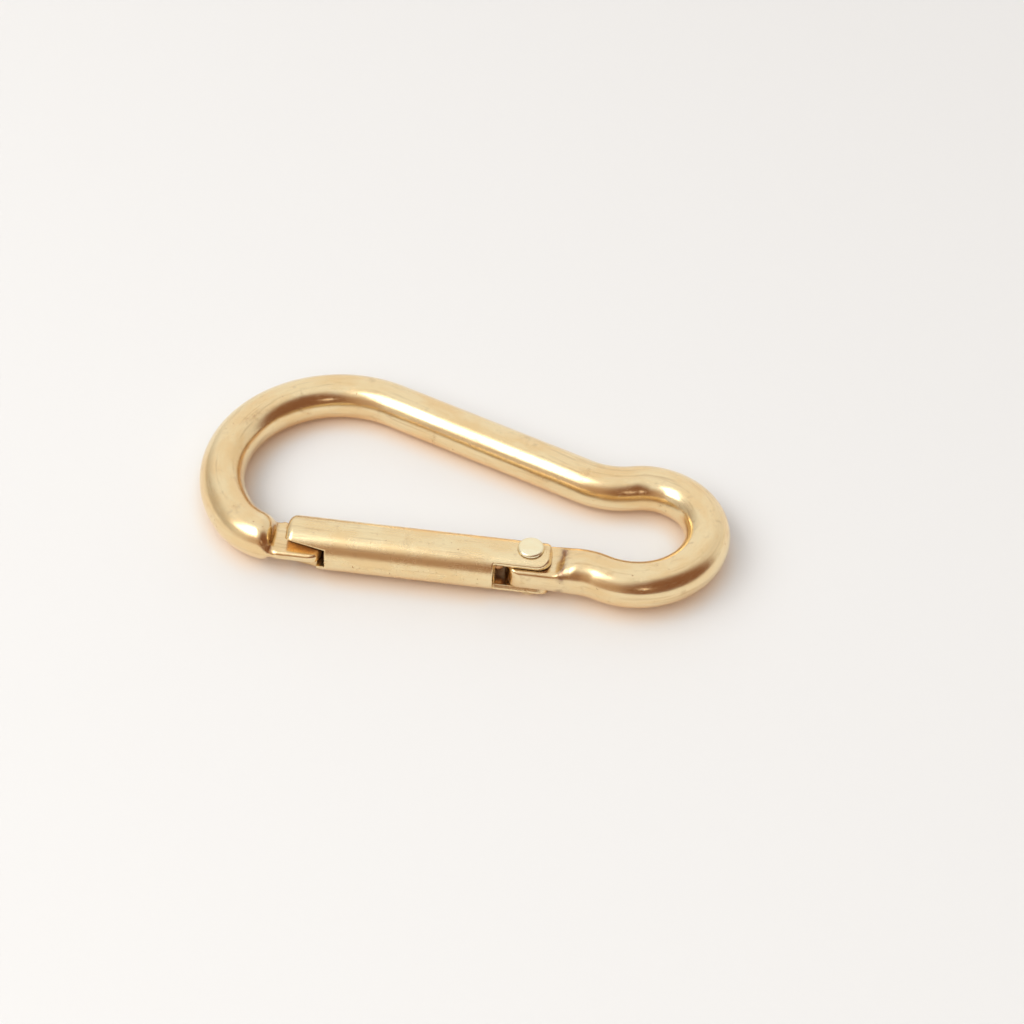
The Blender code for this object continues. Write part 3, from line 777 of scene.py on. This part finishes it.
def build_spring(material):
    """The compression spring, from the bore's blind end to the plunger's shoulder."""
    start = BORE_END_X + COIL_GAP + WIRE_RADIUS
    shoulder = PIVOT_X - TANG_END_RADIUS - PLUNGER_TIP_GAP - PLUNGER_HEAD_LENGTH
    length = shoulder - COIL_GAP - WIRE_RADIUS - start
    points, faces = tube(coil_line(length), WIRE_RADIUS, WIRE_SIDES)
    placed = points @ np.array(ALONG_X).T + np.array((start, PIVOT_Y, 0.0))
    others = (material, "gate", "spring_steel", "spring")
    piece = new_piece("spring_wire", placed, faces, points, *others)
    piece.data.set_sharp_from_angle(angle=SHARP_ANGLE)
    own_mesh(piece)


def node(tree, kind, inputs=None, **settings):
    """A shader node; inputs holds numbers, colours or the sockets to link."""
    made = tree.nodes.new("ShaderNode" + kind)
    for name, value in settings.items():
        setattr(made, name, value)
    for key, value in (inputs or {}).items():
        if isinstance(value, bpy.types.NodeSocket):
            tree.links.new(value, made.inputs[key])
        else:
            made.inputs[key].default_value = value
    return made


def calc(tree, operation, a, b=0.0):
    """One step of arithmetic on numbers or sockets."""
    return node(tree, "Math", {0: a, 1: b}, operation=operation).outputs[0]


def noise(tree, vector, scale, detail, roughness):
    """Smooth noise around 0.5."""
    inputs = {"Vector": vector, "Scale": scale, "Detail": detail, "Roughness": roughness}
    return node(tree, "TexNoise", inputs).outputs[0]


def stretched(tree, vector, factors, turn=0.0, axis=(0.0, 0.0, 1.0)):
    """The coordinates turned about an axis, then multiplied by a factor each."""
    turned = node(tree, "VectorRotate", {"Vector": vector, "Angle": turn, "Axis": axis})
    inputs = {0: turned.outputs[0], 1: factors}
    return node(tree, "VectorMath", inputs, operation="MULTIPLY").outputs[0]


def ramp(tree, value, low, high):
    """0 below low, 1 above high, smooth in between."""
    inputs = {"Value": value, "From Min": low, "From Max": high}
    return node(tree, "MapRange", inputs, interpolation_type="SMOOTHSTEP").outputs[0]


def layer(tree, vector, scale, detail, roughness, low, high):
    """Noise as a mask: 0 where it is below low, 1 where it is above high."""
    return ramp(tree, noise(tree, vector, scale, detail, roughness), low, high)


def crowded(tree, reach, low, high):
    """1 in tight corners, 0 in the open, judged by how open the space within reach is."""
    corner = node(tree, "AmbientOcclusion", {"Distance": reach * MM}, samples=CORNER_SAMPLES)
    return calc(tree, "SUBTRACT", 1.0, ramp(tree, corner.outputs["AO"], low, high))


def blend_colour(tree, share, first, second):
    """A colour between two colours or sockets."""
    mix = node(tree, "Mix", {0: share}, data_type="RGBA")
    for key, value in ((6, first), (7, second)):
        if isinstance(value, bpy.types.NodeSocket):
            tree.links.new(value, mix.inputs[key])
        else:
            mix.inputs[key].default_value = (*value, 1.0)
    return mix.outputs[2]


def hairlines(tree, rod, turn, axis, shift):
    """Sparse scratches: where stretched noise passes through its middle value."""
    shifted = node(tree, "VectorMath", {0: rod, 1: (shift, shift, shift)}).outputs[0]
    lines = noise(tree, stretched(tree, shifted, HAIR_STRETCH, turn, axis), *HAIR_NOISE)
    off = calc(tree, "ABSOLUTE", calc(tree, "SUBTRACT", lines, 0.5))
    line = calc(tree, "SUBTRACT", 1.0, ramp(tree, off, 0.0, HAIR_WIDTH))
    return calc(tree, "MULTIPLY", line, layer(tree, shifted, *SCRATCHED))


def all_hairlines(tree, rod):
    """Every family of hairlines in one mask."""
    hair = 0.0
    for family in HAIRS:
        hair = calc(tree, "ADD", hair, hairlines(tree, rod, *family))
    return hair


def broken_slope_shade(tree, rod):
    """The painted shade at the slopes' feet, stored at the mesh's points, broken up by noise."""
    slope_shade = node(tree, "Attribute", attribute_name="slope_shade").outputs["Fac"]
    return calc(tree, "MULTIPLY", slope_shade, layer(tree, rod, *SLOPE_SHADE_BREAKUP))


def new_material(name):
    """A material with an empty node tree, and the tree."""
    material = bpy.data.materials.new(name)
    material.use_nodes = True
    material.node_tree.nodes.clear()
    return material, material.node_tree


def metal(name, colour, stain, roughness, grain, wave, dirt=1.0, corner_shade=0.25):
    """Worn metal: stained and mottled, with lengthwise grain, hairlines, soft waves and painted shade.

    dirt scales its stains, corner_shade says how dark the painted shade in its corners is.
    """
    material, tree = new_material(name)
    rod = node(tree, "Attribute", attribute_name="rod").outputs["Vector"]
    mottle = layer(tree, stretched(tree, rod, MOTTLE_STRETCH), *MOTTLE)
    streaks = layer(tree, stretched(tree, rod, STREAK_STRETCH), *STREAKS)
    patches = layer(tree, rod, *PATCHES)
    specks = calc(tree, "MULTIPLY", layer(tree, rod, *SPECKS), dirt)
    # Painted shade: the metal turns dark brown in tight corners, where the space around is closed in.
    corner_shade_mask = crowded(tree, CORNER_SHADE_REACH, *CORNER_SHADE_OPENNESS)
    coats = (
        (streaks, STREAK_SHARE * dirt, stain),
        (patches, PATCH_SHARE * dirt, stain),
        (specks, SPECK_SHARE, stain),
        (corner_shade_mask, corner_shade, CORNER_PAINTED_SHADE),
        # Painted shade at the feet of the bar's slopes.
        (broken_slope_shade(tree, rod), SLOPE_SHADE_SHARE, SLOPE_PAINTED_SHADE),
    )
    tint = blend_colour(tree, mottle, colour, tuple(c * k for c, k in zip(colour, ROSY)))
    for mask, share, coat in coats:
        tint = blend_colour(tree, calc(tree, "MULTIPLY", mask, share), tint, coat)
    hair = all_hairlines(tree, rod)
    along = noise(tree, stretched(tree, rod, GRAIN_STRETCH), *GRAIN)
    rough = roughness
    dulling = (mottle, patches, specks, hair, along, corner_shade_mask)
    for mask, share in zip(dulling, DULLING_SHARES):
        rough = calc(tree, "ADD", rough, calc(tree, "MULTIPLY", mask, share))
    fine = calc(tree, "SUBTRACT", calc(tree, "MULTIPLY", along, grain), hair)
    fine = calc(tree, "SUBTRACT", fine, specks)
    waves = bump(tree, noise(tree, rod, *WAVES), wave)
    normal = bump(tree, fine, RELIEF_HEIGHT, waves)
    inputs = {"Base Color": tint, "Metallic": 1.0, "Roughness": rough, "Normal": normal}
    shader = node(tree, "BsdfPrincipled", inputs)
    node(tree, "OutputMaterial", {"Surface": shader.outputs[0]})
    return material


def bump(tree, height, reach, normal=None):
    """A bent normal; reach is the height in millimetres that a value of 1 stands for."""
    inputs = {"Height": height, "Distance": reach * MM}
    if normal is not None:
        inputs["Normal"] = normal
    return node(tree, "Bump", inputs).outputs[0]


def direction(azimuth, elevation):
    """A unit vector; azimuth in degrees from +Y towards +X, elevation in degrees."""
    a = math.radians(azimuth)
    e = math.radians(elevation)
    return Vector((math.sin(a) * math.cos(e), math.cos(a) * math.cos(e), math.sin(e)))


def build_room():
    """Pale surroundings with a dark side at the front right; plain pale where the camera looks."""
    world = bpy.data.worlds.new("room")
    bpy.context.scene.world = world
    world.use_nodes = True
    tree = world.node_tree
    tree.nodes.clear()
    look = node(tree, "TexCoord").outputs["Generated"]
    colour = ROOM_COLOUR
    for azimuth, elevation, inner, outer, patch in ROOM_PATCHES:
        inputs = {0: look, 1: direction(azimuth, elevation)}
        facing = node(tree, "VectorMath", inputs, operation="DOT_PRODUCT").outputs["Value"]
        low = math.cos(math.radians(outer))
        share = ramp(tree, facing, low, math.cos(math.radians(inner)))
        colour = blend_colour(tree, share, colour, patch)
    seen = node(tree, "LightPath").outputs["Is Camera Ray"]
    colour = blend_colour(tree, seen, colour, BACKDROP)
    matt = node(tree, "LightPath").outputs["Is Diffuse Ray"]
    dimming = calc(tree, "MULTIPLY", matt, ROOM_DIMMING_ON_PAPER)
    strength = calc(tree, "SUBTRACT", 1.0, dimming)
    background = node(tree, "Background", {"Color": colour, "Strength": strength})
    node(tree, "OutputWorld", {"Surface": background.outputs[0]})


def add_softbox(name, azimuth, elevation, distance, size, radiance, glossy):
    """A rectangular area light that faces the object; glossy says whether metal reflects it."""
    data = bpy.data.lights.new(name, "AREA")
    data.shape = "RECTANGLE"
    data.size, data.size_y = size
    data.energy = math.pi * size[0] * size[1] * radiance
    data.color = LAMP_COLOUR
    lamp = bpy.data.objects.new(name, data)
    towards = direction(azimuth, elevation)
    lamp.location = towards * distance
    lamp.rotation_euler = towards.to_track_quat("Z", "Y").to_euler()
    lamp.visible_camera = False
    lamp.visible_glossy = glossy
    bpy.context.scene.collection.objects.link(lamp)


def build_floor():
    """A pale sheet under the hook, which rests on the lower rivet head and on its spine."""
    low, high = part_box("hinge_rivet")
    rest_y = (low[1] + high[1]) / 2 + (HEAD_RADIUS - REST_INSET) * MM
    rest_z = low[2]
    spine_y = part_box("body")[1][1] - BAR_RADIUS * MM
    tilt = math.atan2(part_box("body")[0][2] - rest_z, spine_y - rest_y)
    mesh = bpy.data.meshes.new("floor")
    ring = np.linspace(0.0, 2 * math.pi, FLOOR_SIDES, endpoint=False)
    corners = [(FLOOR_RADIUS * math.cos(a), FLOOR_RADIUS * math.sin(a), 0.0) for a in ring]
    mesh.from_pydata(corners, [], [tuple(range(len(corners)))])
    floor = bpy.data.objects.new("floor", mesh)
    floor.rotation_euler = (tilt, 0.0, 0.0)
    floor.location = (0.0, 0.0, rest_z - rest_y * math.tan(tilt))
    mesh.materials.append(floor_material())
    bpy.context.scene.collection.objects.link(floor)


def floor_material():
    """Matt pale paper with painted warm shade and painted bounce light near the hook; it fades into
    the backdrop far from the object.
    """
    material, tree = new_material("pale_paper")
    place = node(tree, "TexCoord").outputs["Object"]
    fibres = noise(tree, place, *PAPER_FIBRES)
    # Painted contact shade and painted bounce light: near the hook the paper turns warm brown and
    # glows.
    painted_contact = crowded(tree, PAINTED_CONTACT_REACH, *PAINTED_CONTACT_OPENNESS)
    tint = blend_colour(tree, calc(tree, "MULTIPLY", painted_contact, PAINTED_SHADE_SHARE), PAPER, PAPER_IN_SHADE)
    inputs = {"Base Color": tint, "Roughness": PAPER_ROUGHNESS, "Specular IOR Level": 0.0}
    inputs["Normal"] = bump(tree, fibres, PAPER_RELIEF)
    inputs["Emission Color"] = (*PAINTED_BRASS_BOUNCE, 1.0)
    inputs["Emission Strength"] = calc(tree, "MULTIPLY", painted_contact, PAINTED_BOUNCE_STRENGTH)
    paper = node(tree, "BsdfPrincipled", inputs)
    away = node(tree, "VectorMath", {0: place}, operation="LENGTH").outputs["Value"]
    share = ramp(tree, away, *FLOOR_FADE)
    glow = node(tree, "Emission", {"Color": (*BACKDROP, 1.0), "Strength": 1.0})
    mix = node(tree, "MixShader", {0: share, 1: paper.outputs[0], 2: glow.outputs[0]})
    node(tree, "OutputMaterial", {"Surface": mix.outputs[0]})
    return material


def build_camera():
    """A long lens in front of the hook, 46 degrees above its plane."""
    data = bpy.data.cameras.new("camera")
    data.sensor_width = CAMERA_SENSOR
    data.lens = CAMERA_LENS
    data.clip_start, data.clip_end = CAMERA_CLIP
    right = Vector(CAMERA_RIGHT).normalized()
    back = right.cross(Vector(CAMERA_UP)).normalized()
    up = back.cross(right)
    camera = bpy.data.objects.new("camera", data)
    place = Vector(((np.array(CAMERA_PLACE) - MIDDLE) * MM).tolist())
    camera.matrix_world = Matrix.Translation(place) @ Matrix((right, up, back)).transposed().to_4x4()
    bpy.context.scene.collection.objects.link(camera)
    bpy.context.scene.camera = camera


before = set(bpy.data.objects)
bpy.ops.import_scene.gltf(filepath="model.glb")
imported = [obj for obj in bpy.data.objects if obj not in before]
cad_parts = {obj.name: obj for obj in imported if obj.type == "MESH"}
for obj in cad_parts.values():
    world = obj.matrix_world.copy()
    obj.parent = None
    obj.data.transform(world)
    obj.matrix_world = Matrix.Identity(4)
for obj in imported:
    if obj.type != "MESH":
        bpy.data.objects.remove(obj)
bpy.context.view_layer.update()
MIDDLE = middle_of_plan()

polished = metal("polished_brass", POLISHED, STAIN, roughness=0.17, grain=0.5, wave=0.032)
satin = metal("satin_brass", SATIN, STAIN, roughness=0.22, grain=1.0, wave=0.014, corner_shade=0.85)
head = metal("rivet_brass", PALE, STAIN, roughness=0.25, grain=0.4, wave=0.004, dirt=0.0)
pin = metal("plunger_brass", REDDISH, STAIN, roughness=0.28, grain=0.4, wave=0.003)
steel = metal("spring_steel", STEEL, STEEL_STAIN, roughness=0.25, grain=0.3, wave=0.002)

build_body(polished)
build_gate(satin)
build_rivet(head)
build_plunger(pin)
build_spring(steel)
build_floor()
build_room()
for softbox in SOFTBOXES:
    add_softbox(*softbox)
build_camera()

scene = bpy.context.scene
scene.view_settings.view_transform = "Standard"
